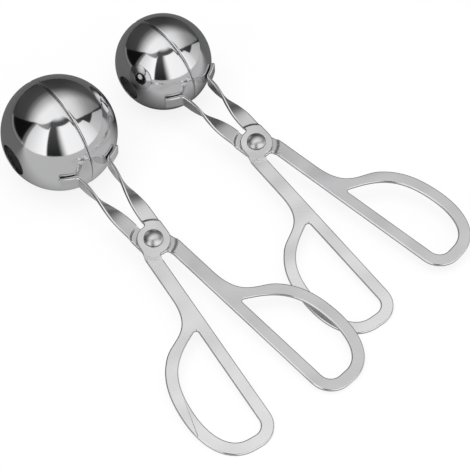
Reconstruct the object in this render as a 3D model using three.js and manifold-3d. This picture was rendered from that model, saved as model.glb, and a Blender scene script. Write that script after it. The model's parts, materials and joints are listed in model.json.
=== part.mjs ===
// Two scissor-type meatball tongs of stainless steel, a large pair and a small pair, as they lie on a table.
// Each has two stamped levers, two half-ball cups and one rivet. Millimetres, +Z up.

import * as THREE from "three";
import { mergeVertices } from "three/addons/utils/BufferGeometryUtils.js";
import Module from "manifold-3d";

const wasm = await Module();
wasm.setup();

// Sheet and fits
const sheet = 1.5;
const fitGap = 0.3;
const cutOverrun = 1;
const mergeShare = 1e-5;

// Finger loop: a D-shaped hole with a band of even width round it
const loopStart = 45.95;
const loopLength = 51.6;
const loopDepth = 20.65;
const loopBand = 5.35;
const loopRearRadius = 5.15;
const loopFrontRadius = 1.15;
const frontLean = THREE.MathUtils.degToRad(28.4);
const crownShare = 0.607;
const frontCrownShare = 0.25;
const frontRiseShare = 0.675;
const rearCrownShare = 0.797;
const rearRiseShare = 0.839;
const rearFallShare = 0.408;
const shoulderShare = 0.61;

// Shank between the loop and the eye
const handleAngle = THREE.MathUtils.degToRad(5.8);
const shankInset = 1.45;
const shankWidth = 6.6;
const shankBlend = 27.9;
const blendPull = 8.7;
const shankPull = 18.3;

// Eye at the rivet, offset from the plane of the handles by a ring-shaped joggle
const eyeRadius = 7.25;
const eyeFillet = 1.6;
const eyeShoulder = 8.5;
const joggleRadius = 9.9;
const joggleRamp = 0.5;

// Arm: flat at the eye, turned through a quarter and tapered, upright, then bent out as a tab round the cup
const armAngle = THREE.MathUtils.degToRad(5.6);
const armInset = 0.25;
const armWidth = 6.9;
const armFlat = 12;
const armUpright = 2.5;
const bendRadius = 2;
const tabLength = 6.6;
const tabWidth = 6.3;
const tabCorner = 0.8;

// Rivet
const rivetRadius = 2.5;
const rivetHeadRadius = 4.2;
const rivetHeadHeight = 2.4;
const rivetHeadEdge = 0.4;

// Cups
const cupWall = 0.9;
const rimRound = 0.8;
const lipRound = 0.25;

// The two pairs: radius of the ball, rivet to the ball's middle, and radius of the hole at each pole
const large = { name: "large", ball: 25.5, reach: 68.9, hole: 7.4 };
const small = { name: "small", ball: 22, reach: 62, hole: 6 };

// How they lie: on the ball and the ends of the loops, the small pair beside the large one and partly under it
const ballSpacing = 15.9;
const smallSetback = 9.1;
const smallHeading = THREE.MathUtils.degToRad(4.6);
const largeRoll = THREE.MathUtils.degToRad(2);
const smallRoll = THREE.MathUtils.degToRad(6);

// Fineness of the curves, in steps
const cupSteps = 36;
const cupArcSteps = 7;
const roundSteps = 2;
const eyeSteps = 48;
const rivetSteps = 24;
const domeSteps = 3;
const curveSteps = 8;
const cornerSteps = 5;
const filletSteps = 3;
const eyeArcSteps = 8;
const twistSteps = 12;
const bendSteps = 5;
const tabSteps = 3;

const polished = { color: 0xd9dadb, roughness: 0.07, metalness: 1 };
const satin = { color: 0xc9cacb, roughness: 0.32, metalness: 1 };

const { EllipseCurve, CubicBezierCurve, Vector2, Vector3 } = THREE;

// Curves and points

function arcPoints(centre, radius, start, end, steps) {
  return new EllipseCurve(centre.x, centre.y, radius, radius, start, end, end < start).getPoints(steps);
}

function onCircle(centre, radius, angle) {
  return new Vector2(centre.x + radius * Math.cos(angle), centre.y + radius * Math.sin(angle));
}

function offsetPoints(curve, share, distance) {
  const points = [];
  for (let step = 0; step <= curveSteps; step += 1) {
    const along = (share * step) / curveSteps;
    const tangent = curve.getTangent(along);
    points.push(curve.getPoint(along).add(new Vector2(tangent.y, -tangent.x).multiplyScalar(distance)));
  }
  return points;
}

function joined(...runs) {
  const points = [];
  for (const point of runs.flat()) {
    if (points.length === 0 || point.distanceTo(points.at(-1)) > sheet * mergeShare) {
      points.push(point);
    }
  }
  return points;
}

function turnedBy(points, angle) {
  return points.map((point) => point.clone().rotateAround(new Vector2(), angle));
}

// Solids, for cutting and joining

function toSolid(geometry) {
  const plain = geometry.clone();
  plain.deleteAttribute("normal");
  plain.deleteAttribute("uv");
  const merged = mergeVertices(plain, sheet * mergeShare);
  const vertProperties = new Float32Array(merged.attributes.position.array);
  const triVerts = new Uint32Array(merged.index.array);
  return new wasm.Manifold(new wasm.Mesh({ numProp: 3, vertProperties, triVerts }));
}

function toGeometry(solid) {
  const mesh = solid.getMesh();
  const geometry = new THREE.BufferGeometry();
  geometry.setAttribute("position", new THREE.BufferAttribute(mesh.vertProperties, mesh.numProp));
  geometry.setIndex(new THREE.BufferAttribute(mesh.triVerts, 1));
  geometry.computeVertexNormals();
  return geometry;
}

function prism(shape, bottom, top) {
  return new THREE.ExtrudeGeometry(shape, { depth: top - bottom, bevelEnabled: false }).translate(0, 0, bottom);
}

function turnedSolid(profile, steps) {
  return toSolid(new THREE.LatheGeometry(profile, steps).rotateX(Math.PI / 2));
}

// The eye lies below the plane of the handles by half the stack of two sheets and their gap

const eyeTop = -fitGap / 2;
const eyeBottom = eyeTop - sheet;

// Finger loop and shank, in the handle's own frame: x from the rivet along the shank, y towards the loop's crown

const holeSide = shankInset + loopBand;
const loopEnd = loopStart + loopLength;
const shankEdge = shankInset + shankWidth;

function inLoop(lengthShare, depthShare) {
  return new Vector2(loopStart + lengthShare * loopLength, holeSide + depthShare * loopDepth);
}

const crown = inLoop(crownShare, 1);
const rearCentre = new Vector2(loopEnd - loopRearRadius, holeSide + loopRearRadius);
const frontCentre = new Vector2(loopStart + loopFrontRadius, holeSide + loopFrontRadius);
const frontEnd = onCircle(frontCentre, loopFrontRadius, Math.PI - frontLean);
const frontRise = new Vector2(Math.sin(frontLean), Math.cos(frontLean)).multiplyScalar(frontRiseShare * loopDepth);
const rearCurve = new CubicBezierCurve(
  inLoop(1, rearFallShare),
  inLoop(1, rearRiseShare),
  inLoop(rearCrownShare, 1),
  crown,
);
const frontCurve = new CubicBezierCurve(
  crown,
  inLoop(frontCrownShare, 1),
  frontEnd.clone().add(frontRise),
  frontEnd,
);

function loopHole() {
  return joined(
    arcPoints(frontCentre, loopFrontRadius, Math.PI - frontLean, 1.5 * Math.PI, filletSteps),
    arcPoints(rearCentre, loopRearRadius, -Math.PI / 2, 0, cornerSteps),
    rearCurve.getPoints(curveSteps),
    frontCurve.getPoints(curveSteps).slice(0, -1),
  );
}

function loopRim() {
  const front = offsetPoints(frontCurve, shoulderShare, loopBand);
  const shoulder = front.at(-1);
  const blend = new CubicBezierCurve(
    shoulder,
    shoulder.clone().add(frontCurve.getTangent(shoulderShare).multiplyScalar(blendPull)),
    new Vector2(shankBlend + shankPull, shankEdge),
    new Vector2(shankBlend, shankEdge),
  );
  return joined(
    arcPoints(rearCentre, loopRearRadius + loopBand, -Math.PI / 2, 0, cornerSteps),
    offsetPoints(rearCurve, 1, loopBand),
    front,
    blend.getPoints(curveSteps),
  );
}

// A strip that leaves the eye has a small fillet on its inner edge and a long blend on its outer edge

function filletCentre(innerEdge) {
  const y = innerEdge - eyeFillet;
  return new Vector2(Math.sqrt((eyeRadius + eyeFillet) ** 2 - y ** 2), y);
}

function innerFillet(innerEdge) {
  const centre = filletCentre(innerEdge);
  return arcPoints(centre, eyeFillet, centre.angle() + Math.PI, Math.PI / 2, filletSteps);
}

function outerBlend(outerEdge) {
  const curve = new CubicBezierCurve(
    new Vector2(eyeShoulder, outerEdge),
    new Vector2(eyeShoulder / 2, outerEdge),
    new Vector2(eyeShoulder / 2, eyeRadius),
    new Vector2(0, eyeRadius),
  );
  return curve.getPoints(cornerSteps);
}

// Flat blank of one lever, in the arm's frame: x from the rivet along the arm, y outwards

const handleTurn = handleAngle - armAngle - Math.PI;

function leverBlank() {
  const armEnd = [new Vector2(armFlat, armInset), new Vector2(armFlat, armInset + armWidth)];
  const arm = [...innerFillet(armInset), ...armEnd, ...outerBlend(armInset + armWidth)];
  const handle = turnedBy([...innerFillet(shankInset), ...loopRim(), ...outerBlend(shankEdge)], handleTurn);
  const middle = new Vector2();
  const handleFillet = handle[0].angle();
  const armFillet = Math.atan2(arm[0].y, arm[0].x);
  const rear = arcPoints(middle, eyeRadius, Math.PI / 2, handleFillet, eyeArcSteps);
  const front = arcPoints(middle, eyeRadius, Math.PI / 2 + handleTurn, armFillet, eyeArcSteps);
  const shape = new THREE.Shape(joined(arm, rear, handle, front).slice(0, -1));
  shape.holes.push(new THREE.Path(turnedBy(loopHole(), handleTurn)));
  return shape;
}

function joggledSheet() {
  const rampStart = joggleRadius - joggleRamp;
  const sheetReach = loopEnd + shankInset + loopBand + loopDepth + loopBand;
  return turnedSolid(
    [
      new Vector2(0, eyeBottom),
      new Vector2(rampStart, eyeBottom),
      new Vector2(joggleRadius, -sheet / 2),
      new Vector2(sheetReach, -sheet / 2),
      new Vector2(sheetReach, sheet / 2),
      new Vector2(joggleRadius, sheet / 2),
      new Vector2(rampStart, eyeTop),
      new Vector2(0, eyeTop),
    ],
    eyeSteps,
  );
}

// Arm from its flat root to the tab, lofted along a path of stations

function armPath(pair) {
  const centreLine = armInset + armWidth / 2;
  const turnRadius = bendRadius + sheet / 2;
  const tabRadius = pair.ball + fitGap + sheet / 2;
  const ballMiddle = new Vector2(pair.reach * Math.cos(armAngle), -pair.reach * Math.sin(armAngle));
  const bendRise = centreLine + turnRadius - ballMiddle.y;
  const tabStart = Math.asin(bendRise / (tabRadius + turnRadius));
  const bendMiddle = new Vector2(ballMiddle.x - bendRise / Math.tan(tabStart), centreLine + turnRadius);
  return { centreLine, turnRadius, tabRadius, ballMiddle, tabStart, bendMiddle };
}

function armStations(pair) {
  const path = armPath(pair);
  const stations = [];
  const add = (point, heading, twist, width) => stations.push({ point, heading, twist, width });
  add(new Vector2(armFlat - cutOverrun, path.centreLine), 0, 0, armWidth);
  const twistLength = path.bendMiddle.x - armUpright - armFlat;
  for (let step = 0; step <= twistSteps; step += 1) {
    const share = step / twistSteps;
    const point = new Vector2(armFlat + share * twistLength, path.centreLine);
    const turned = THREE.MathUtils.smoothstep(share, 0, 1);
    add(point, 0, (turned * Math.PI) / 2, THREE.MathUtils.lerp(armWidth, tabWidth, turned));
  }
  const bend = Math.PI / 2 - path.tabStart;
  for (let step = 0; step <= bendSteps; step += 1) {
    const heading = (bend * step) / bendSteps;
    add(onCircle(path.bendMiddle, path.turnRadius, heading - Math.PI / 2), heading, Math.PI / 2, tabWidth);
  }
  const onTab = (length, width) => {
    const angle = path.tabStart + length / path.tabRadius;
    add(onCircle(path.ballMiddle, path.tabRadius, Math.PI - angle), Math.PI / 2 - angle, Math.PI / 2, width);
  };
  for (let step = 1; step <= tabSteps; step += 1) {
    onTab(((tabLength - tabCorner) * step) / tabSteps, tabWidth);
  }
  onTab(tabLength, tabWidth - 2 * tabCorner);
  return stations;
}

// A station's ring has both corners and the middle of each wide face; widthShares and faceShares run round it

const widthShares = [1, 0, -1, -1, 0, 1];
const faceShares = [1, 1, 1, -1, -1, -1];
const capShares = [1, 2, 3, 1, 3, 4, 1, 4, 5, 1, 5, 0];

function stationRing({ point, heading, twist, width }) {
  const side = new Vector3(-Math.sin(heading), Math.cos(heading), 0);
  const up = new Vector3(0, 0, 1);
  const across = side.clone().multiplyScalar(Math.cos(twist)).addScaledVector(up, Math.sin(twist));
  const face = up.clone().multiplyScalar(Math.cos(twist)).addScaledVector(side, -Math.sin(twist));
  return widthShares.map((widthShare, corner) =>
    new Vector3(point.x, point.y, 0)
      .addScaledVector(across, (widthShare * width) / 2)
      .addScaledVector(face, (faceShares[corner] * sheet) / 2),
  );
}

function loft(rings) {
  const count = rings[0].length;
  const indices = [];
  for (let ring = 0; ring + 1 < rings.length; ring += 1) {
    for (let corner = 0; corner < count; corner += 1) {
      const next = (corner + 1) % count;
      const [a, b] = [ring * count + corner, ring * count + next];
      indices.push(a, b, b + count, a, b + count, a + count);
    }
  }
  const last = (rings.length - 1) * count;
  indices.push(...capShares.map((corner) => last + corner));
  indices.push(...capShares.toReversed());
  const geometry = new THREE.BufferGeometry().setFromPoints(rings.flat());
  geometry.setIndex(indices);
  return geometry;
}

function leverGeometry(pair) {
  const blank = prism(leverBlank(), eyeBottom - cutOverrun, sheet / 2 + cutOverrun);
  const plate = toSolid(blank).intersect(joggledSheet());
  const arm = toSolid(loft(armStations(pair).map(stationRing)));
  const rivetHole = turnedSolid(
    [
      new Vector2(0, eyeBottom - cutOverrun),
      new Vector2(rivetRadius + fitGap, eyeBottom - cutOverrun),
      new Vector2(rivetRadius + fitGap, eyeTop + cutOverrun),
      new Vector2(0, eyeTop + cutOverrun),
    ],
    rivetSteps,
  );
  return toGeometry(plate.add(arm).subtract(rivetHole)).rotateZ(Math.PI + armAngle);
}

// Half-ball cup turned about the Y axis, with a rounded rim at the seam and a round hole at the pole

function cupGeometry(pair) {
  const inside = pair.ball - cupWall;
  const seam = fitGap / 2;
  const rimOuter = Math.sqrt(pair.ball ** 2 - (seam + rimRound) ** 2);
  const rimInner = Math.sqrt(inside ** 2 - seam ** 2);
  const rimCentre = new Vector2(rimOuter - rimRound, seam + rimRound);
  const lipOuter = Math.acos((pair.hole + lipRound) / pair.ball);
  const lipInner = Math.acos(pair.hole / inside);
  const middle = new Vector2();
  const lipCentre = new Vector2(pair.hole + lipRound, pair.ball * Math.sin(lipOuter) - lipRound);
  const profile = joined(
    [new Vector2(rimInner, seam)],
    arcPoints(rimCentre, rimRound, -Math.PI / 2, 0, roundSteps),
    arcPoints(middle, pair.ball, Math.asin((seam + rimRound) / pair.ball), lipOuter, cupArcSteps),
    arcPoints(lipCentre, lipRound, Math.PI / 2, Math.PI, roundSteps),
    arcPoints(middle, inside, lipInner, Math.asin(seam / inside), cupArcSteps),
  );
  profile.push(profile[0].clone());
  return toGeometry(toSolid(new THREE.LatheGeometry(profile, cupSteps)));
}

// Rivet with a shallow dome on both ends

function rivetGeometry() {
  const dome = rivetHeadHeight - rivetHeadEdge;
  const domeRadius = (rivetHeadRadius ** 2 + dome ** 2) / (2 * dome);
  const seat = -eyeBottom + fitGap;
  const centre = new Vector2(0, seat + rivetHeadHeight - domeRadius);
  const domeAngle = Math.asin(rivetHeadRadius / domeRadius);
  const top = joined(
    [new Vector2(rivetRadius, 0), new Vector2(rivetRadius, seat), new Vector2(rivetHeadRadius, seat)],
    arcPoints(centre, domeRadius, Math.PI / 2 - domeAngle, Math.PI / 2, domeSteps),
  );
  const bottom = top.toReversed().map(({ x, y }) => new Vector2(x, -y));
  return toGeometry(turnedSolid(joined(bottom, top), rivetSteps));
}

// A pair of tongs, with its origin at the ball's middle and +X towards the finger loops

function addPiece(tongs, name, geometry, finish, x, turn) {
  const mesh = new THREE.Mesh(geometry, new THREE.MeshStandardMaterial(finish));
  mesh.name = name;
  mesh.position.x = x;
  mesh.rotation.x = turn;
  tongs.add(mesh);
}

// The tilt at which the first point of the handles' undersides meets the table, with the ball resting on it

function restTilt(pair, roll) {
  const tilts = turnedBy(loopRim(), handleAngle).flatMap(({ x, y }) =>
    [y, -y].map((side) => {
      const along = pair.reach + x;
      const rise = Math.sin(roll) * side - (Math.cos(roll) * sheet) / 2;
      return Math.atan2(rise, along) + Math.asin(pair.ball / Math.hypot(along, rise));
    }),
  );
  return Math.min(...tilts);
}

function makeTongs(pair, roll, heading) {
  const tongs = new THREE.Group();
  const lever = leverGeometry(pair);
  const cup = cupGeometry(pair);
  addPiece(tongs, `${pair.name}_lower_lever`, lever, satin, pair.reach, 0);
  addPiece(tongs, `${pair.name}_upper_lever`, lever, satin, pair.reach, Math.PI);
  addPiece(tongs, `${pair.name}_right_cup`, cup, polished, 0, 0);
  addPiece(tongs, `${pair.name}_left_cup`, cup, polished, 0, Math.PI);
  addPiece(tongs, `${pair.name}_rivet`, rivetGeometry(), polished, pair.reach, 0);
  tongs.rotation.set(roll, restTilt(pair, roll), heading, "ZYX");
  tongs.position.z = pair.ball;
  return tongs;
}

const largeTongs = makeTongs(large, largeRoll, 0);
const smallTongs = makeTongs(small, smallRoll, smallHeading);
smallTongs.position.x = -smallSetback;
smallTongs.position.y = large.ball + ballSpacing + small.ball;

const pairOfTongs = new THREE.Group();
pairOfTongs.add(largeTongs, smallTongs);
pairOfTongs.updateMatrixWorld(true);
const extent = new THREE.Box3().setFromObject(pairOfTongs, true);
const centre = extent.getCenter(new Vector3());
pairOfTongs.position.set(-centre.x, -centre.y, -extent.min.z);

export default pairOfTongs;
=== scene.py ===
"""A large and a small pair of stainless steel meatball tongs, side by side on a pale table."""

import json
import math

import bpy
from bpy.props import FloatProperty, FloatVectorProperty, IntProperty, PointerProperty
from mathutils import Matrix, Vector
from mathutils.geometry import interpolate_bezier


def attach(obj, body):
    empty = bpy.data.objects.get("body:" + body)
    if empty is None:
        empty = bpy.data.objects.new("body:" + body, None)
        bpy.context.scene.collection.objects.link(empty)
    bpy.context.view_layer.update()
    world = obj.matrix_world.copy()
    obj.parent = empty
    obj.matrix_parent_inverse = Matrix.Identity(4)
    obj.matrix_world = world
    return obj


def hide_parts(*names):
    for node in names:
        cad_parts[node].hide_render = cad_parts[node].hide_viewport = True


bl_info = {
    "name": "Meatball tongs",
    "version": (1, 0, 0),
    "blender": (4, 5, 0),
    "location": "3D View > Sidebar > Tongs",
    "description": "Adds two pairs of meatball tongs of stamped and drawn stainless steel",
    "category": "Add Mesh",
}

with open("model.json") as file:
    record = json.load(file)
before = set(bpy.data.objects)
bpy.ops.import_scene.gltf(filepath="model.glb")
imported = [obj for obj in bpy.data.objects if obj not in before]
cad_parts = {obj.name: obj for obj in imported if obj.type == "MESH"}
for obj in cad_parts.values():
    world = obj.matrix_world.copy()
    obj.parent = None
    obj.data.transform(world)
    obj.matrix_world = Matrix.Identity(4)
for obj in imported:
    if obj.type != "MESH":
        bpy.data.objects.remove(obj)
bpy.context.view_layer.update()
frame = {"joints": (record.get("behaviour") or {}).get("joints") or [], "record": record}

MILLIMETRE = 0.001
TINY = 1e-7
FULL_TURN = 2 * math.pi


# Sizes and colours that a user may change


def length(name, description, default):
    return FloatProperty(
        name=name, description=description, default=default * MILLIMETRE, min=0.0, precision=5, unit="LENGTH"
    )


def turn(name, description, default):
    return FloatProperty(name=name, description=description, default=math.radians(default), unit="ROTATION")


def share(name, description, default):
    return FloatProperty(
        name=name, description=description, default=default, min=0.0, max=1.0, subtype="FACTOR"
    )


def colour(name, description, default):
    return FloatVectorProperty(
        name=name, description=description, default=default, min=0.0, max=1.0, size=3, subtype="COLOR"
    )


def steps(name, description, default):
    return IntProperty(name=name, description=description, default=default, min=1)


class TONGS_PG_sheet(bpy.types.PropertyGroup):
    thickness: length("Thickness", "Thickness of the levers' sheet", 1.5)
    gap: length("Running gap", "Gap between pieces that move on each other", 0.3)
    edge: length("Tumbled edge", "Radius that tumbling leaves on the stamped edges", 0.5)


class TONGS_PG_loop(bpy.types.PropertyGroup):
    start: length("Start", "From the rivet to the loop's hole", 45.95)
    length: length("Length", "Length of the loop's hole", 51.6)
    depth: length("Depth", "Depth of the loop's hole at its crown", 20.65)
    band: length("Band", "Width of the band round the hole", 5.35)
    rear_radius: length("Rear corner", "Radius of the hole's rear corner", 5.15)
    front_radius: length("Front corner", "Radius of the hole's front corner", 1.15)
    front_lean: turn("Front lean", "Lean of the hole's front side", 28.4)
    crown: share("Crown", "Place of the crown along the hole", 0.607)
    front_crown: share("Front crown", "How far the crown keeps flat towards the front", 0.25)
    front_rise: share("Front rise", "Pull of the front side towards the crown", 0.675)
    rear_crown: share("Rear crown", "How far the crown keeps flat towards the rear", 0.797)
    rear_rise: share("Rear rise", "Pull of the rear end towards the crown", 0.839)
    rear_fall: share("Rear fall", "Where the rear end begins to round", 0.408)
    shoulder: share("Shoulder", "Share of the front side that the band follows", 0.61)


class TONGS_PG_shank(bpy.types.PropertyGroup):
    angle: turn("Angle", "Angle of the handle to the middle line", 5.8)
    inset: length("Inset", "From the shank's inner edge to its line through the rivet", 1.45)
    width: length("Width", "Width of the shank", 6.6)
    blend: length("Blend", "From the rivet to where the shank widens into the loop", 27.9)
    blend_pull: length("Shoulder pull", "Fullness of the blend at the loop", 8.7)
    shank_pull: length("Shank pull", "Fullness of the blend at the shank", 18.3)


class TONGS_PG_eye(bpy.types.PropertyGroup):
    radius: length("Radius", "Radius of the eye", 7.25)
    fillet: length("Fillet", "Fillet between the eye and an inner edge", 1.6)
    shoulder: length("Shoulder", "Length of the blend between the eye and an outer edge", 8.5)
    joggle: length("Joggle", "Radius at which the sheet steps down to the eye", 9.9)
    ramp: length("Ramp", "Width of that step", 0.5)
    press: length("Press radius", "Radius that the press leaves at both ends of the step", 0.7)


class TONGS_PG_arm(bpy.types.PropertyGroup):
    angle: turn("Angle", "Angle of the arm to the middle line", 5.6)
    inset: length("Inset", "From the arm's inner edge to its line through the rivet", 0.25)
    width: length("Width", "Width of the arm", 6.9)
    flat: length("Flat root", "From the rivet to where the arm starts to turn", 12)
    upright: length("Upright part", "Length of the part that stands on edge", 2.5)
    bend: length("Bend", "Inner radius of the bend at the tab", 2)
    tab: length("Tab", "Length of the tab that is welded to the cup", 6.6)
    tab_width: length("Tab width", "Width of the upright part and the tab", 6.3)
    corner: length("Tab corner", "Radius of the tab's corners", 1.0)


class TONGS_PG_rivet(bpy.types.PropertyGroup):
    radius: length("Radius", "Radius of the shaft", 2.5)
    head_radius: length("Head radius", "Radius of the heads", 4.2)
    head_height: length("Head height", "Height of the heads", 2.4)
    head_edge: length("Head edge", "Height of the heads' straight edge", 0.4)


class TONGS_PG_pair(bpy.types.PropertyGroup):
    ball: length("Ball radius", "Outer radius of the closed cups", 25.5)
    reach: length("Reach", "From the rivet to the middle of the ball", 68.9)
    hole: length("Pole hole", "Radius of the hole at each cup's pole", 7.4)
    heading: turn("Heading", "Direction in which the pair lies on the table", 0)


class TONGS_PG_cup(bpy.types.PropertyGroup):
    wall: length("Wall", "Thickness of the drawn shell", 0.9)
    rim: length("Rim", "Outer radius on the rim at the seam", 1.0)
    seam: length("Seam", "Gap between the two rims", 0.12)
    lip: length("Lip", "Radius on the edge of the pole hole", 0.25)


class TONGS_PG_finish(bpy.types.PropertyGroup):
    satin: colour("Satin steel", "Colour of the tumbled upper levers", (0.83, 0.83, 0.84))
    # The lower levers' colour is darker than the upper levers' as painted shade: it stands in for less light
    # falling on them, not for a different steel.
    under_painted_shade: colour("Lower satin steel", "Colour of the tumbled lower levers", (0.66, 0.66, 0.67))
    edge: colour("Bright edge", "Colour of the levers' rubbed edges", (0.8, 0.8, 0.81))
    # The cut sides' dark colour is partly duller sheared steel and partly painted shade and painted dark
    # reflection along the levers' outlines.
    side: colour("Cut side", "Colour of the levers' cut sides", (0.3, 0.3, 0.31))
    mirror: colour("Mirror steel", "Colour of the polished cups", (0.76, 0.76, 0.77))
    rivet: colour("Rivet steel", "Colour of the rivets", (0.72, 0.72, 0.73))
    table: colour("Table", "Colour of the table", (0.17, 0.17, 0.17))


class TONGS_PG_fineness(bpy.types.PropertyGroup):
    turning: steps("Turning", "Steps round a turned or drawn piece", 240)
    pressing: steps("Pressing", "Steps round a lever's pressed middle", 160)
    meridian: steps("Meridian", "Steps from a cup's rim to its pole", 56)
    curve: steps("Curves", "Steps on each long curve of the outline", 28)
    corner: steps("Corners", "Steps on each corner of the outline", 10)
    twist: steps("Twist", "Steps along the arm's turn", 48)
    bend: steps("Bend", "Steps on the bend at the tab", 10)
    edge: steps("Edges", "Steps across a rounded edge", 3)


class TONGS_PG_tongs(bpy.types.PropertyGroup):
    sheet: PointerProperty(type=TONGS_PG_sheet)
    loop: PointerProperty(type=TONGS_PG_loop)
    shank: PointerProperty(type=TONGS_PG_shank)
    eye: PointerProperty(type=TONGS_PG_eye)
    arm: PointerProperty(type=TONGS_PG_arm)
    rivet: PointerProperty(type=TONGS_PG_rivet)
    cup: PointerProperty(type=TONGS_PG_cup)
    large: PointerProperty(type=TONGS_PG_pair)
    small: PointerProperty(type=TONGS_PG_pair)
    finish: PointerProperty(type=TONGS_PG_finish)
    fineness: PointerProperty(type=TONGS_PG_fineness)


# Shader maths


class Wire:
    """An output of a node, with arithmetic that adds Math nodes."""

    def __init__(self, board, socket):
        self.board = board
        self.socket = socket

    def math(self, operation, *values):
        return self.board.node("ShaderNodeMath", {"operation": operation}, dict(enumerate(values)))

    def __add__(self, other):
        return self.math("ADD", self, other)

    def __radd__(self, other):
        return self.math("ADD", other, self)

    def __sub__(self, other):
        return self.math("SUBTRACT", self, other)

    def __rsub__(self, other):
        return self.math("SUBTRACT", other, self)

    def __mul__(self, other):
        return self.math("MULTIPLY", self, other)

    def __rmul__(self, other):
        return self.math("MULTIPLY", other, self)

    def __truediv__(self, other):
        return self.math("DIVIDE", self, other)

    def step(self, start, end):
        """0 before start and 1 after end, with a smooth rise between them."""
        kind = {"interpolation_type": "SMOOTHSTEP"}
        ends = {"Value": self, "From Min": start, "From Max": end}
        if start >= end:
            ends = {"Value": self, "From Min": end, "From Max": start, "To Min": 1.0, "To Max": 0.0}
        return self.board.node("ShaderNodeMapRange", kind, ends)

    def between(self, start, end, soft):
        """1 from start to end, and 0 outside, with edges as wide as soft."""
        return self.step(start - soft / 2, start + soft / 2) * self.step(end + soft / 2, end - soft / 2)


class Board:
    """The node tree of a material or world, cleared for new nodes."""

    def __init__(self, owner):
        owner.use_nodes = True
        self.tree = owner.node_tree
        self.tree.nodes.clear()

    def node(self, kind, settings=None, inputs=None, output=0):
        made = self.tree.nodes.new(kind)
        for name, value in (settings or {}).items():
            if name == "stops":
                self.set_stops(made.color_ramp, value)
            else:
                setattr(made, name, value)
        for name, value in (inputs or {}).items():
            if isinstance(value, Wire):
                self.tree.links.new(value.socket, made.inputs[name])
            else:
                made.inputs[name].default_value = value
        return Wire(self, made.outputs[output]) if made.outputs else made

    def set_stops(self, ramp, stops):
        for place, value in stops[1:-1]:
            ramp.elements.new(place)
        for element, (place, value) in zip(ramp.elements, stops):
            element.position = place
            element.color = (value, value, value, 1.0)

    def place(self):
        return self.node("ShaderNodeTexCoord", output="Object")

    def attribute(self, name):
        return self.node("ShaderNodeAttribute", {"attribute_name": name}, output="Fac")

    def stretched(self, place, scale):
        return self.node("ShaderNodeMapping", None, {"Vector": place, "Scale": scale})

    def noise(self, place, scale, detail, roughness=0.5):
        inputs = {"Vector": place, "Scale": scale, "Detail": detail, "Roughness": roughness}
        return self.node("ShaderNodeTexNoise", None, inputs)

    def mixed(self, factor, first, second):
        settings = {"data_type": "RGBA"}
        return self.node("ShaderNodeMix", settings, {0: factor, 6: first, 7: second}, output=2)

    def tinted(self, tint, factor):
        settings = {"data_type": "RGBA", "blend_type": "MULTIPLY"}
        grey = self.node("ShaderNodeCombineColor", None, {0: factor, 1: factor, 2: factor})
        return self.node("ShaderNodeMix", settings, {0: 1.0, 6: (*tint, 1.0), 7: grey}, output=2)

    def bump(self, height, strength, distance):
        inputs = {"Height": height, "Strength": strength, "Distance": distance}
        return self.node("ShaderNodeBump", None, inputs)


def new_material(name):
    material = bpy.data.materials.new(name)
    return material, Board(material)


def finish_material(board, inputs):
    surface = board.node("ShaderNodeBsdfPrincipled", None, inputs)
    board.node("ShaderNodeOutputMaterial", None, {"Surface": surface})


def satin_material(finish, name, satin):
    """Tumbled sheet, a little wavy: a fine even grain with soft patches, rubbed edges that shine, and cut
    sides painted dark, partly as duller sheared steel and partly as painted shade and painted dark
    reflection.
    """
    material, board = new_material(name)
    place = board.place()
    grain = board.noise(place, scale=1900.0, detail=2.0)
    patches = board.noise(place, scale=90.0, detail=4.0, roughness=0.6)
    scratches = board.noise(board.stretched(place, (1.0, 7.0, 7.0)), scale=420.0, detail=2.0)
    edge = board.attribute("rubbed_edge")
    # Cut sides are painted dark: partly duller sheared steel, partly painted shade and painted dark
    # reflection.
    side = board.attribute("cut_side")
    dull = board.attribute("dull_step")
    shade = 0.91 + 0.05 * grain + 0.12 * patches - 0.03 * scratches
    face_colour = board.tinted(satin, shade)
    edge_colour = board.mixed(edge, face_colour, (*finish.edge, 1.0))
    roughness = (0.21 + 0.04 * grain + 0.08 * patches) * (1.0 - 0.4 * edge) + 0.3 * dull
    waves = board.noise(place, scale=42.0, detail=1.0)
    finish_material(board, {
        "Base Color": board.mixed(side, edge_colour, (*finish.side, 1.0)),
        "Roughness": roughness,
        "Metallic": 1.0,
        "Normal": board.bump(waves + scratches * 0.003, strength=1.0, distance=0.0012),
    })
    return material


def mirror_material(finish):
    """Drawn shell, buffed to a mirror, with a faint haze and hairlines round it from the buff."""
    material, board = new_material("polished_steel")
    place = board.place()
    haze = board.noise(place, scale=60.0, detail=4.0, roughness=0.6)
    hairlines = board.noise(board.stretched(place, (1.0, 14.0, 1.0)), scale=700.0, detail=2.0)
    waves = board.noise(place, scale=55.0, detail=2.0)
    inner = board.attribute("inner_face")
    # The cup's inside is painted darker as painted shade in the hollow. Its higher roughness is the inside's
    # own duller finish.
    shade = (0.95 + 0.06 * haze - 0.02 * hairlines) * (1 - 0.35 * inner)
    finish_material(board, {
        "Base Color": board.tinted(finish.mirror, shade),
        "Roughness": 0.045 + 0.05 * haze + 0.02 * hairlines + 0.25 * inner,
        "Metallic": 1.0,
        "Normal": board.bump(waves, strength=0.05, distance=0.001),
    })
    return material


def rivet_material(finish):
    """Rivet with a soft shine, a fine grain and faint patches."""
    material, board = new_material("rivet_steel")
    place = board.place()
    grain = board.noise(place, scale=1500.0, detail=3.0)
    patches = board.noise(place, scale=260.0, detail=2.0)
    finish_material(board, {
        "Base Color": board.tinted(finish.rivet, 0.9 + 0.14 * patches),
        "Roughness": 0.27 + 0.08 * patches + 0.04 * grain,
        "Metallic": 1.0,
        "Normal": board.bump(grain, strength=0.1, distance=0.00005),
    })
    return material


# Outlines in the plane of the sheet


def at(x, y):
    return Vector((x, y, 0.0))


def turned(points, angle):
    spin = Matrix.Rotation(angle, 3, "Z")
    return [spin @ point for point in points]


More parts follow.
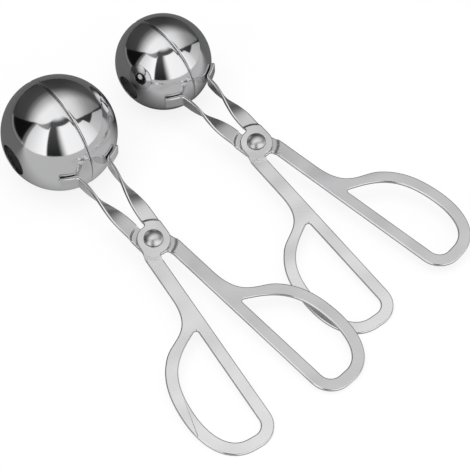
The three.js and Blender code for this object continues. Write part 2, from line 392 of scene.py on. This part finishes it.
def on_circle(centre, radius, angle):
    return centre + at(radius * math.cos(angle), radius * math.sin(angle))


def arc(centre, radius, start, end, count):
    return [on_circle(centre, radius, start + (end - start) * step / count) for step in range(count + 1)]


def bezier(first, first_pull, last_pull, last, count):
    return [Vector(point) for point in interpolate_bezier(first, first_pull, last_pull, last, count + 1)]


def alongside(points, distance):
    """The same run of points, moved sideways by a distance, to the right of its direction."""
    moved = []
    for index, point in enumerate(points):
        before = points[max(index - 1, 0)]
        after = points[min(index + 1, len(points) - 1)]
        along = (after - before).normalized()
        moved.append(point + at(along.y, -along.x) * distance)
    return moved


def joined(*runs):
    points = []
    for run in runs:
        for point in run:
            if not points or (point - points[-1]).length > TINY:
                points.append(point)
    if (points[0] - points[-1]).length < TINY:
        points.pop()
    return points


class Outline:
    """The stamped outline of one lever, x from the rivet along a strip and y away from the middle line."""

    def __init__(self, tongs):
        loop = tongs.loop
        shank = tongs.shank
        self.tongs = tongs
        self.count = tongs.fineness.curve
        self.corner = tongs.fineness.corner
        self.side = shank.inset + loop.band
        self.loop_end = loop.start + loop.length
        self.rear = at(self.loop_end - loop.rear_radius, self.side + loop.rear_radius)
        self.front = at(loop.start + loop.front_radius, self.side + loop.front_radius)
        crown = self.in_loop(loop.crown, 1)
        front_end = on_circle(self.front, loop.front_radius, math.pi - loop.front_lean)
        lean = at(math.sin(loop.front_lean), math.cos(loop.front_lean))
        rise = front_end + lean * loop.front_rise * loop.depth
        rear_side = self.in_loop(1, loop.rear_fall)
        self.rear_run = bezier(
            rear_side, self.in_loop(1, loop.rear_rise), self.in_loop(loop.rear_crown, 1), crown, self.count
        )
        self.front_run = bezier(crown, self.in_loop(loop.front_crown, 1), rise, front_end, self.count)

    def in_loop(self, length_share, depth_share):
        loop = self.tongs.loop
        return at(loop.start + length_share * loop.length, self.side + depth_share * loop.depth)

    def hole(self):
        loop = self.tongs.loop
        return joined(
            arc(self.front, loop.front_radius, math.pi - loop.front_lean, 1.5 * math.pi, self.corner),
            arc(self.rear, loop.rear_radius, -math.pi / 2, 0, self.corner),
            self.rear_run,
            self.front_run,
        )

    def rim(self):
        loop = self.tongs.loop
        shank = self.tongs.shank
        edge = shank.inset + shank.width
        kept = round(loop.shoulder * self.count)
        front = alongside(self.front_run, loop.band)[: kept + 1]
        direction = (front[-1] - front[-2]).normalized()
        blend = bezier(
            front[-1],
            front[-1] + direction * shank.blend_pull,
            at(shank.blend + shank.shank_pull, edge),
            at(shank.blend, edge),
            self.count,
        )
        return joined(
            arc(self.rear, loop.rear_radius + loop.band, -math.pi / 2, 0, self.corner),
            alongside(self.rear_run, loop.band),
            front,
            blend,
        )

    def inner_fillet(self, inset):
        eye = self.tongs.eye
        y = inset - eye.fillet
        centre = at(math.sqrt((eye.radius + eye.fillet) ** 2 - y**2), y)
        return arc(centre, eye.fillet, math.atan2(centre.y, centre.x) + math.pi, math.pi / 2, self.corner)

    def outer_blend(self, edge):
        eye = self.tongs.eye
        half = eye.shoulder / 2
        start = at(eye.shoulder, edge)
        return bezier(start, at(half, edge), at(half, eye.radius), at(0, eye.radius), self.corner)

    def blank(self, arm_length):
        """The outer outline and the loop's hole of the flat blank, with its arm still straight."""
        arm = self.tongs.arm
        shank = self.tongs.shank
        eye = self.tongs.eye
        turn_back = shank.angle - arm.angle - math.pi
        outer = arm.inset + arm.width
        tip = arm_length - arm.corner
        arm_run = joined(
            self.inner_fillet(arm.inset),
            arc(at(tip, arm.inset + arm.corner), arm.corner, -math.pi / 2, 0, self.corner),
            arc(at(tip, outer - arm.corner), arm.corner, 0, math.pi / 2, self.corner),
            self.outer_blend(outer),
        )
        shank_edge = shank.inset + shank.width
        handle = joined(self.inner_fillet(shank.inset), self.rim(), self.outer_blend(shank_edge))
        handle = turned(handle, turn_back)
        to_handle = math.atan2(handle[0].y, handle[0].x)
        to_arm = math.atan2(arm_run[0].y, arm_run[0].x)
        middle = at(0, 0)
        rear = arc(middle, eye.radius, math.pi / 2, to_handle, 2 * self.corner)
        front = arc(middle, eye.radius, math.pi / 2 + turn_back, to_arm, 2 * self.corner)
        return joined(arm_run, rear, handle, front), turned(self.hole(), turn_back)


class ArmPath:
    """Where the arm's strip goes: flat, a quarter turn, upright, a bend, and the tab round the cup."""

    def __init__(self, tongs, pair):
        arm = tongs.arm
        half = tongs.sheet.thickness / 2
        self.flat = arm.flat
        self.line = arm.inset + arm.width / 2
        self.bend_radius = arm.bend + half
        self.tab_radius = pair.ball + tongs.sheet.gap + half
        self.ball = at(pair.reach * math.cos(arm.angle), -pair.reach * math.sin(arm.angle))
        rise = self.line + self.bend_radius - self.ball.y
        self.tab_start = math.asin(rise / (self.tab_radius + self.bend_radius))
        self.bend_middle = at(self.ball.x - rise / math.tan(self.tab_start), self.line + self.bend_radius)
        self.bend_start = self.bend_middle.x
        self.turned = self.bend_start - arm.upright
        self.bend = math.pi / 2 - self.tab_start
        self.bend_end = self.bend_start + self.bend_radius * self.bend
        self.end = self.bend_end + arm.tab
        self.narrowing = 1.0 - arm.tab_width / arm.width

    def station(self, along):
        """Middle, heading and share of the quarter turn of the strip at a length along it."""
        if along <= self.bend_start:
            portion = min(max((along - self.flat) / (self.turned - self.flat), 0.0), 1.0)
            return at(along, self.line), 0.0, portion * portion * (3 - 2 * portion)
        if along <= self.bend_end:
            heading = (along - self.bend_start) / self.bend_radius
            return on_circle(self.bend_middle, self.bend_radius, heading - math.pi / 2), heading, 1.0
        angle = self.tab_start + (along - self.bend_end) / self.tab_radius
        return on_circle(self.ball, self.tab_radius, math.pi - angle), math.pi / 2 - angle, 1.0

    def shaped(self, point):
        """Where a point of the flat strip ends up."""
        middle, heading, done = self.station(point.x)
        twist = done * math.pi / 2
        side = Vector((-math.sin(heading), math.cos(heading), 0.0))
        up = Vector((0.0, 0.0, 1.0))
        across = side * math.cos(twist) + up * math.sin(twist)
        face = up * math.cos(twist) - side * math.sin(twist)
        return middle + across * (point.y - self.line) * (1.0 - self.narrowing * done) + face * point.z

    def cuts(self, fineness):
        spans = [
            (self.flat, self.turned, fineness.twist),
            (self.bend_start, self.bend_end, fineness.bend),
            (self.bend_end, self.end, fineness.bend),
        ]
        places = []
        for start, end, count in spans:
            places += [start + (end - start) * step / count for step in range(count)]
        return places


# Modelling, as by hand

START_CIRCLE = 1.0
BLANK_DEPTH = 3
PAST_LOOP = 4
SAME_PLANE = math.radians(0.3)
STAMPED_CORNER = math.radians(50)
HEAD_CORNER = math.radians(40)
SMOOTH_UP_TO = math.radians(40)
FLAT_FACES_FIRST = 100
ROUNDED_SLOT = 1
CUT_SIDE_RISE = 0.1
STEP_RISE = (0.2, 0.999)


def deselect():
    bpy.ops.object.select_all(action="DESELECT")


def make_active(piece):
    deselect()
    piece.select_set(True)
    bpy.context.view_layer.objects.active = piece


def edit(piece):
    make_active(piece)
    bpy.ops.object.mode_set(mode="EDIT")
    bpy.ops.mesh.select_all(action="SELECT")


def leave_edit():
    bpy.ops.object.mode_set(mode="OBJECT")


def wire_loop(name, points):
    """A closed loop of edges, started from a circle."""
    deselect()
    bpy.ops.mesh.primitive_circle_add(vertices=len(points), radius=START_CIRCLE)
    piece = bpy.context.active_object
    piece.name = name
    for vertex, point in zip(piece.data.vertices, points):
        vertex.co = point
    return piece


def spun(name, points, axis, fineness):
    """A closed profile turned round an axis through the origin."""
    piece = wire_loop(name, points)
    edit(piece)
    bpy.ops.mesh.spin(steps=fineness, angle=FULL_TURN, center=(0, 0, 0), axis=axis)
    bpy.ops.mesh.select_all(action="SELECT")
    bpy.ops.mesh.remove_doubles(threshold=TINY)
    bpy.ops.mesh.dissolve_degenerate(threshold=TINY)
    bpy.ops.mesh.select_all(action="SELECT")
    bpy.ops.mesh.normals_make_consistent(inside=False)
    leave_edit()
    return piece


def apply_modifier(piece, kind, **settings):
    make_active(piece)
    modifier = piece.modifiers.new(kind.lower(), kind)
    for name, value in settings.items():
        setattr(modifier, name, value)
    bpy.ops.object.modifier_apply(modifier=modifier.name)


def flat_blank(name, outlines, height):
    """A filled flat curve of the outlines, as thick as height on both sides, made a mesh."""
    deselect()
    bpy.ops.object.add(type="CURVE")
    piece = bpy.context.active_object
    piece.name = name
    piece.data.dimensions = "2D"
    piece.data.fill_mode = "BOTH"
    piece.data.extrude = height
    for points in outlines:
        spline = piece.data.splines.new("POLY")
        spline.points.add(len(points) - 1)
        for target, point in zip(spline.points, points):
            target.co = (point.x, point.y, 0.0, 1.0)
        spline.use_cyclic_u = True
    make_active(piece)
    bpy.ops.object.convert(target="MESH")
    piece = bpy.context.active_object
    edit(piece)
    bpy.ops.mesh.remove_doubles(threshold=TINY)
    bpy.ops.mesh.normals_make_consistent(inside=False)
    leave_edit()
    return piece


def pressed_profile(tongs):
    """Half section of the sheet round the rivet, stepped down to the eye with rounded corners."""
    sheet = tongs.sheet
    eye = tongs.eye
    half = sheet.thickness / 2
    eye_top = -sheet.gap / 2
    middle = eye.joggle - eye.ramp / 2
    reach = tongs.loop.start + tongs.loop.length + tongs.loop.depth + PAST_LOOP * tongs.loop.band
    bore = tongs.rivet.radius + sheet.gap
    spread = eye.press + eye.ramp / 2
    count = 2 * tongs.fineness.corner
    drop = half - eye_top
    step_line = []
    for index in range(count + 1):
        portion = index / count
        rise = portion * portion * portion * (portion * (6 * portion - 15) + 10)
        step_line.append((middle + (2 * portion - 1) * spread, rise * drop))
    top = [(bore, 0.0), *step_line, (reach, drop)]
    upper = [Vector((x, 0.0, eye_top + z)) for x, z in top]
    lower = [Vector((x, 0.0, eye_top - sheet.thickness + z)) for x, z in reversed(top)]
    return upper + lower


def mark_faces(piece, step_end):
    """Attributes that are 1 on the rounded edges, the cut sides or the handle's step, and 0 elsewhere."""
    faces = piece.data.polygons
    rounded = [face.material_index == ROUNDED_SLOT for face in faces]
    upright = [abs(face.normal.z) < CUT_SIDE_RISE for face in faces]
    low, high = STEP_RISE
    sloping = [low < abs(face.normal.z) < high and -step_end < face.center.x < 0 for face in faces]
    marks = {
        "rubbed_edge": rounded,
        "cut_side": [here and not edge for here, edge in zip(upright, rounded)],
        "dull_step": [here and not edge for here, edge in zip(sloping, rounded)],
    }
    for name, values in marks.items():
        attribute = piece.data.attributes.new(name, "FLOAT", "FACE")
        attribute.data.foreach_set("value", [float(value) for value in values])


def crease_edges(piece):
    """Creases the lines where a rounded edge starts or ends, and puts all faces back in one slot."""
    beside = {}
    for face in piece.data.polygons:
        for key in face.edge_keys:
            beside.setdefault(key, set()).add(face.material_index)
        face.material_index = 0
    for edge in piece.data.edges:
        edge.use_edge_sharp = len(beside.get(edge.key, ())) == 2


def cut_across(piece, places):
    """Cuts the straight arm across at each place along it."""
    edit(piece)
    for place in places:
        bpy.ops.mesh.select_all(action="SELECT")
        bpy.ops.mesh.bisect(plane_co=(place, 0, 0), plane_no=(1, 0, 0))
    leave_edit()


def lever_shape(tongs, pair, name):
    """One lever in its arm's frame, with its middle at the rivet."""
    path = ArmPath(tongs, pair)
    rim, hole = Outline(tongs).blank(path.end)
    piece = flat_blank(name, [rim, hole], BLANK_DEPTH * tongs.sheet.thickness)
    section = spun("section", pressed_profile(tongs), (0, 0, 1), tongs.fineness.pressing)
    apply_modifier(piece, "BOOLEAN", operation="INTERSECT", solver="EXACT", object=section)
    bpy.data.objects.remove(section)
    edit(piece)
    bpy.ops.mesh.remove_doubles(threshold=TINY)
    bpy.ops.mesh.dissolve_limited(angle_limit=SAME_PLANE)
    leave_edit()
    while len(piece.data.materials) <= ROUNDED_SLOT:
        piece.data.materials.append(None)
    for face in piece.data.polygons:
        face.material_index = 0
    apply_modifier(
        piece,
        "BEVEL",
        width=tongs.sheet.edge,
        segments=tongs.fineness.edge,
        limit_method="ANGLE",
        angle_limit=STAMPED_CORNER,
        use_clamp_overlap=False,
        material=ROUNDED_SLOT,
    )
    mark_faces(piece, tongs.eye.joggle + tongs.eye.press)
    crease_edges(piece)
    cut_across(piece, path.cuts(tongs.fineness))
    for vertex in piece.data.vertices:
        if vertex.co.x > path.flat:
            vertex.co = path.shaped(vertex.co)
    return piece


def tongs_place(tongs, name):
    """Matrix from a pair's own frame, with its origin at the ball's middle, to the table."""
    pair = getattr(tongs, name)
    joint = next(joint for joint in frame["joints"] if joint["name"] == f"{name}_opening")
    up = Vector(joint["axis"])
    if up.z < 0:
        up = -up
    forward = Vector((math.cos(pair.heading), math.sin(pair.heading), 0.0))
    forward.z = -(up.x * forward.x + up.y * forward.y) / up.z
    forward.normalize()
    across = up.cross(forward)
    origin = Vector(joint["pos_m"]) - forward * pair.reach
    place = Matrix((forward, across, up)).transposed().to_4x4()
    place.translation = origin
    return place


def settle(piece, node, place, material, keep_flat=False):
    """Puts a finished piece in its place, gives it its finish, and lets it stand for its node."""
    piece.data.transform(place)
    piece.name = f"{node}_finished"
    piece.data.materials.clear()
    piece.data.materials.append(material)
    make_active(piece)
    bpy.ops.object.shade_smooth_by_angle(angle=SMOOTH_UP_TO)
    if keep_flat:
        apply_modifier(piece, "WEIGHTED_NORMAL", weight=FLAT_FACES_FIRST, keep_sharp=True)
    bodies = frame["record"]["behaviour"]["bodies"]
    body = next(name for name, nodes in bodies.items() if node in nodes)
    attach(piece, body)
    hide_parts(node)


def copied(piece):
    make_active(piece)
    bpy.ops.object.duplicate(linked=False)
    return bpy.context.active_object


class TONGS_OT_levers(bpy.types.Operator):
    """Add the four stamped levers: finger loop, shank, eye, turned arm and tab in one piece of sheet"""

    bl_idname = "tongs.levers"
    bl_label = "Levers"

    def execute(self, context):
        tongs = context.scene.tongs
        over_finish = satin_material(tongs.finish, "satin_steel", tongs.finish.satin)
        # The lower levers get a darker copy of the satin steel, as painted shade.
        painted_shade_finish = satin_material(tongs.finish, "satin_steel_painted_shade", tongs.finish.under_painted_shade)
        for name in ("large", "small"):
            pair = getattr(tongs, name)
            lower = lever_shape(tongs, pair, name)
            upper = copied(lower)
            at_rivet = tongs_place(tongs, name) @ Matrix.Translation((pair.reach, 0, 0))
            turned_arm = Matrix.Rotation(math.pi + tongs.arm.angle, 4, "Z")
            over = Matrix.Rotation(math.pi, 4, "X")
            lower_place = at_rivet @ turned_arm
            upper_place = at_rivet @ over @ turned_arm
            settle(lower, f"{name}_lower_lever", lower_place, painted_shade_finish, keep_flat=True)
            settle(upper, f"{name}_upper_lever", upper_place, over_finish, keep_flat=True)
        return {"FINISHED"}


def cup_profile(tongs, pair):
    """Half section of a cup that opens at the seam, y from the seam to the pole and x from the axis."""
    cup = tongs.cup
    seam = cup.seam / 2
    inside = pair.ball - cup.wall
    rim_out = math.sqrt(pair.ball**2 - (seam + cup.rim) ** 2)
    rim_in = math.sqrt(inside**2 - seam**2)
    lip_out = math.acos((pair.hole + cup.lip) / pair.ball)
    lip_in = math.acos(pair.hole / inside)
    lip_middle = at(pair.hole + cup.lip, pair.ball * math.sin(lip_out) - cup.lip)
    middle = at(0, 0)
    corner = tongs.fineness.corner
    meridian = tongs.fineness.meridian
    return joined(
        [at(rim_in, seam)],
        arc(at(rim_out - cup.rim, seam + cup.rim), cup.rim, -math.pi / 2, 0, corner),
        arc(middle, pair.ball, math.asin((seam + cup.rim) / pair.ball), lip_out, meridian),
        arc(lip_middle, cup.lip, math.pi / 2, math.pi, corner),
        arc(middle, inside, lip_in, math.asin(seam / inside), meridian),
    )


def mark_inside(cup):
    """An attribute that is 1 on the cup's inner faces and 0 elsewhere."""
    marks = cup.data.attributes.new("inner_face", "FLOAT", "FACE")
    marks.data.foreach_set("value", [float(face.normal.dot(face.center) < 0) for face in cup.data.polygons])


class TONGS_OT_cups(bpy.types.Operator):
    """Add the four half-ball cups with their rounded rims and pole holes"""

    bl_idname = "tongs.cups"
    bl_label = "Cups"

    def execute(self, context):
        tongs = context.scene.tongs
        material = mirror_material(tongs.finish)
        for name in ("large", "small"):
            pair = getattr(tongs, name)
            right = spun(name, cup_profile(tongs, pair), (0, 1, 0), tongs.fineness.turning)
            mark_inside(right)
            left = copied(right)
            place = tongs_place(tongs, name)
            over = Matrix.Rotation(math.pi, 4, "X")
            settle(right, f"{name}_right_cup", place, material)
            settle(left, f"{name}_left_cup", place @ over, material)
        return {"FINISHED"}


def rivet_profile(tongs):
    """Half section of the rivet, x from its axis and z along it."""
    rivet = tongs.rivet
    dome = rivet.head_height - rivet.head_edge
    radius = (rivet.head_radius**2 + dome**2) / (2 * dome)
    seat = tongs.sheet.gap / 2 + tongs.sheet.thickness + tongs.sheet.gap
    span = math.asin(rivet.head_radius / radius)
    centre = at(0, seat + rivet.head_height - radius)
    top = joined(
        [at(rivet.radius, 0), at(rivet.radius, seat), at(rivet.head_radius, seat)],
        arc(centre, radius, math.pi / 2 - span, math.pi / 2, tongs.fineness.corner),
    )
    top[-1].x = 0.0
    bottom = [at(point.x, -point.y) for point in reversed(top)]
    return [Vector((point.x, 0.0, point.y)) for point in joined(bottom, top)]


class TONGS_OT_rivets(bpy.types.Operator):
    """Add the two domed rivets that the levers turn on"""

    bl_idname = "tongs.rivets"
    bl_label = "Rivets"

    def execute(self, context):
        tongs = context.scene.tongs
        material = rivet_material(tongs.finish)
        for name in ("large", "small"):
            pair = getattr(tongs, name)
            rivet = spun(name, rivet_profile(tongs), (0, 0, 1), tongs.fineness.turning // 2)
            apply_modifier(
                rivet,
                "BEVEL",
                width=tongs.sheet.edge / 2,
                segments=tongs.fineness.edge,
                limit_method="ANGLE",
                angle_limit=HEAD_CORNER,
            )
            place = tongs_place(tongs, name) @ Matrix.Translation((pair.reach, 0, 0))
            settle(rivet, f"{name}_rivet", place, material)
        return {"FINISHED"}


# Stage: a pale table with a painted pool of light that only reflections show, plain studio walls with white
# panels, a soft lamp and the camera

TABLE_SIZE = 6.0
TABLE_SEEN = 0.84
# A painted pool of light on the table, seen only in reflections: its strength, where its edge starts, its
# slant and its fade.
PAINTED_POOL_STRENGTH = 0.42
PAINTED_POOL_FROM = (-0.066, -0.037)
PAINTED_POOL_SLANT = 0.21
PAINTED_POOL_FADE = (-0.02, 0.03)
LAMP_PLACE = (0.3, -0.5, 1.6)
LAMP_SIZE = 1.6
LAMP_POWER = 14
CAMERA_PLACE = (0.366517, -0.272085, 0.550656)
CAMERA_TURN = (39.18625, 1.01411, 51.62782)
CAMERA_LENS = 125.48
SENSOR_WIDTH = 36.0
NEAREST_SEEN = 0.01
WHITE = (1, 1, 1, 1)

# The ceiling's light, by how far a direction leans along x and y
LEAN_ALONG = (-2.0, 1.0)
GLOW_ALONG = [
    (-2.0, 0.02), (-1.2, 0.03), (-1.0, 0.1), (-0.84, 0.17), (-0.73, 0.3), (-0.5, 0.55), (-0.3, 0.87),
    (-0.2, 1.0), (1.0, 1.0),
]
LEAN_ACROSS = (-2.5, 4.5)
GLOW_ACROSS = [
    (-2.5, 0.3), (-1.0, 0.85), (-0.5, 1.0), (0.0, 0.97), (0.2, 0.82), (0.55, 0.78), (0.84, 0.6), (1.19, 0.39),
    (1.73, 0.25), (2.75, 0.19), (4.5, 0.13),
]

# Round the room in degrees: heights in quarter turns, and brightness
ALL_ROUND = (-180, 180)
QUARTER_TURN = 90
CEILING_STARTS = [
    (-158, 0.0), (-150, 0.07), (-140, 0.2), (-130, 0.32), (-120, 0.42), (-110, 0.505), (-103, 0.54),
    (-90, 0.585), (-80, 0.64), (-70, 0.7), (-58, 0.77), (-45, 0.79), (15, 0.79), (28, 0.7), (36, 0.57),
    (48, 0.5), (60, 0.41), (70, 0.3), (80, 0.19), (92, 0.03), (97, 0.0),
]
PANELS_END = [
    (-107, 0.53), (-60, 0.56), (-57, 0.645), (20, 0.645), (24, 0.5), (30, 0.48), (46, 0.43), (50, 0.27),
    (72, 0.25), (80, 0.14), (90, 0.0),
]
PANEL_LIGHT = [
    (-156, 0.005), (-109, 0.005), (-107, 0.12), (-102, 0.16), (-99, 0.66), (-75, 0.9), (-58, 1.04),
    (-26, 0.92), (-17, 0.96), (12, 0.92), (30, 0.88), (47, 0.7), (50, 0.58), (86, 0.4),
]
LIGHT_ABOVE_PANELS = [
    (-112, 0.005), (-107, 0.1), (-100, 0.3), (-80, 0.36), (-64, 0.3), (-58, 0.08), (20, 0.08), (26, 0.14),
    (36, 0.1), (48, 0.045), (90, 0.03),
]
CEILING_SOFTNESS = [(-68, 0.15), (-45, 0.8), (15, 0.8), (30, 0.15)]
SOFTEST_LINE = 8
FLATTEST_LOOK_UP = 0.05

# Single features of the room, each as where it starts and ends in degrees
DOOR_LEFT = (-58.5, -55.5)
DOOR_RIGHT = (-16.0, -33.0)
DOOR_LEAN = 0.12
CORNER_SIDES = (90, 98)
CORNER_HEIGHT = (-5, 5)
CORNER_SOFT = 2
DARK_SIDE = (60, 130)
DARK_SIDE_SOFT = 30
SKIRTING_SIDE = (-98, -108)
SKIRTING_TOP = (6.0, 2.0)
PANEL_EDGE = (1.0, -1.0)


def ramp_over(board, wire, ends, stops):
    """A value that follows stops over a range, read from a ramp."""
    low, high = ends
    portion = (wire - low) / (high - low)
    spread = [((place - low) / (high - low), value) for place, value in stops]
    return board.node("ShaderNodeValToRGB", {"stops": spread}, {"Fac": portion})


def studio_walls(board):
    """Brightness of the room by direction: soft light overhead, white panels in front, dark behind."""
    direction = board.node("ShaderNodeTexCoord", output="Generated")
    x, y, z = (board.node("ShaderNodeSeparateXYZ", None, {0: direction}, output=index) for index in range(3))
    round_way = x.math("ARCTAN2", y, x) * math.degrees(1)
    height = z.math("ARCSINE", z) * math.degrees(1)
    over = z.math("MAXIMUM", z, FLATTEST_LOOK_UP)
    along = ramp_over(board, x / over, LEAN_ALONG, GLOW_ALONG)
    across = ramp_over(board, y / over, LEAN_ACROSS, GLOW_ACROSS)
    dark_side = round_way.between(*DARK_SIDE, soft=DARK_SIDE_SOFT)
    ceiling = 0.045 + 0.04 * dark_side + 1.09 * along * across
    brink = QUARTER_TURN * ramp_over(board, round_way, ALL_ROUND, CEILING_STARTS)
    panel_top = QUARTER_TURN * ramp_over(board, round_way, ALL_ROUND, PANELS_END)
    columns = ramp_over(board, round_way, ALL_ROUND, PANEL_LIGHT)
    above = ramp_over(board, round_way, ALL_ROUND, LIGHT_ABOVE_PANELS)
    in_panel = (height - panel_top).step(*PANEL_EDGE)
    panels = 1.25 * columns * in_panel + above * (1 - in_panel)
    doorway = round_way.step(*DOOR_LEFT) * (round_way + DOOR_LEAN * height).step(*DOOR_RIGHT)
    corner = round_way.between(*CORNER_SIDES, CORNER_SOFT) * height.between(*CORNER_HEIGHT, CORNER_SOFT)
    skirting = 0.25 * round_way.step(*SKIRTING_SIDE) * height.step(*SKIRTING_TOP)
    behind_door = 0.018 + 0.0012 * height
    walls = (panels + skirting) * (1 - doorway) * (1 - corner) + doorway * behind_door
    softness = SOFTEST_LINE * ramp_over(board, round_way, ALL_ROUND, CEILING_SOFTNESS)
    below_ceiling = ((height - brink) / softness).step(*PANEL_EDGE)
    return ceiling * (1 - below_ceiling) + walls * below_ceiling


class TONGS_OT_stage(bpy.types.Operator):
    """Add the table, the studio around it, the lamp and the camera"""

    bl_idname = "tongs.stage"
    bl_label = "Stage"

    def execute(self, context):
        self.add_table(context)
        self.add_room(context)
        self.add_lamp()
        self.add_camera(context)
        context.scene.view_settings.view_transform = "Standard"
        return {"FINISHED"}

    def add_table(self, context):
        deselect()
        bpy.ops.mesh.primitive_plane_add(size=TABLE_SIZE, location=(0, 0, 0))
        table = context.active_object
        table.name = "table"
        material, board = new_material("pale_table")
        tint = context.scene.tongs.finish.table
        plain = board.node("ShaderNodeBsdfDiffuse", None, {"Color": (*tint, 1.0)})
        place = board.place()
        x, y = (board.node("ShaderNodeSeparateXYZ", None, {0: place}, output=index) for index in range(2))
        from_x, from_y = PAINTED_POOL_FROM
        # Painted pool of light: in front of this slanted line the table glows for glossy rays only, so the
        # metal reflects a lit floor there that no lamp lights.
        front = (x - from_x - PAINTED_POOL_SLANT * (y - from_y)).step(*PAINTED_POOL_FADE)
        seen = board.node("ShaderNodeLightPath", output="Is Camera Ray")
        mirrored = board.node("ShaderNodeLightPath", output="Is Glossy Ray")
        backdrop_and_painted_pool = board.node("ShaderNodeEmission", None, {
            "Color": WHITE,
            "Strength": TABLE_SEEN * seen + PAINTED_POOL_STRENGTH * mirrored * front,
        })
        both = board.node("ShaderNodeAddShader", None, {0: plain, 1: backdrop_and_painted_pool})
        board.node("ShaderNodeOutputMaterial", None, {"Surface": both})
        table.data.materials.append(material)

    def add_room(self, context):
        world = bpy.data.worlds.new("studio")
        context.scene.world = world
        board = Board(world)
        walls = studio_walls(board)
        seen = board.node("ShaderNodeLightPath", output="Is Camera Ray")
        strength = walls * (1 - seen) + seen
        light = board.node("ShaderNodeBackground", None, {"Color": WHITE, "Strength": strength})
        board.node("ShaderNodeOutputWorld", None, {"Surface": light})

    def add_lamp(self):
        deselect()
        bpy.ops.object.light_add(type="AREA", location=LAMP_PLACE)
        lamp = bpy.context.active_object
        lamp.name = "soft_lamp"
        lamp.data.shape = "DISK"
        lamp.data.size = LAMP_SIZE
        lamp.data.energy = LAMP_POWER
        lamp.visible_glossy = False
        lamp.visible_camera = False

    def add_camera(self, context):
        deselect()
        rotation = tuple(math.radians(angle) for angle in CAMERA_TURN)
        bpy.ops.object.camera_add(location=CAMERA_PLACE, rotation=rotation)
        camera = context.active_object
        camera.name = "camera"
        camera.data.lens = CAMERA_LENS
        camera.data.sensor_width = SENSOR_WIDTH
        camera.data.clip_start = NEAREST_SEEN
        context.scene.camera = camera


class TONGS_PT_sidebar(bpy.types.Panel):
    """Lists the tongs' pieces"""

    bl_idname = "TONGS_PT_sidebar"
    bl_label = "Meatball tongs"
    bl_space_type = "VIEW_3D"
    bl_region_type = "UI"
    bl_category = "Tongs"

    def draw(self, context):
        for operator in OPERATORS:
            self.layout.operator(operator.bl_idname)


SIZES = (
    TONGS_PG_sheet,
    TONGS_PG_loop,
    TONGS_PG_shank,
    TONGS_PG_eye,
    TONGS_PG_arm,
    TONGS_PG_rivet,
    TONGS_PG_pair,
    TONGS_PG_cup,
    TONGS_PG_finish,
    TONGS_PG_fineness,
    TONGS_PG_tongs,
)
OPERATORS = (TONGS_OT_levers, TONGS_OT_cups, TONGS_OT_rivets, TONGS_OT_stage)


def register():
    for each in (*SIZES, *OPERATORS, TONGS_PT_sidebar):
        bpy.utils.register_class(each)
    bpy.types.Scene.tongs = PointerProperty(type=TONGS_PG_tongs)


def unregister():
    del bpy.types.Scene.tongs
    for each in reversed((*SIZES, *OPERATORS, TONGS_PT_sidebar)):
        bpy.utils.unregister_class(each)


SMALL_BALL = 22 * MILLIMETRE
SMALL_REACH = 62 * MILLIMETRE
SMALL_HOLE = 6 * MILLIMETRE
SMALL_HEADING = math.radians(4.6)


def main():
    register()
    tongs = bpy.context.scene.tongs
    tongs.small.ball = SMALL_BALL
    tongs.small.reach = SMALL_REACH
    tongs.small.hole = SMALL_HOLE
    tongs.small.heading = SMALL_HEADING
    bpy.ops.tongs.levers()
    bpy.ops.tongs.cups()
    bpy.ops.tongs.rivets()
    bpy.ops.tongs.stage()


if __name__ == "__main__":
    main()
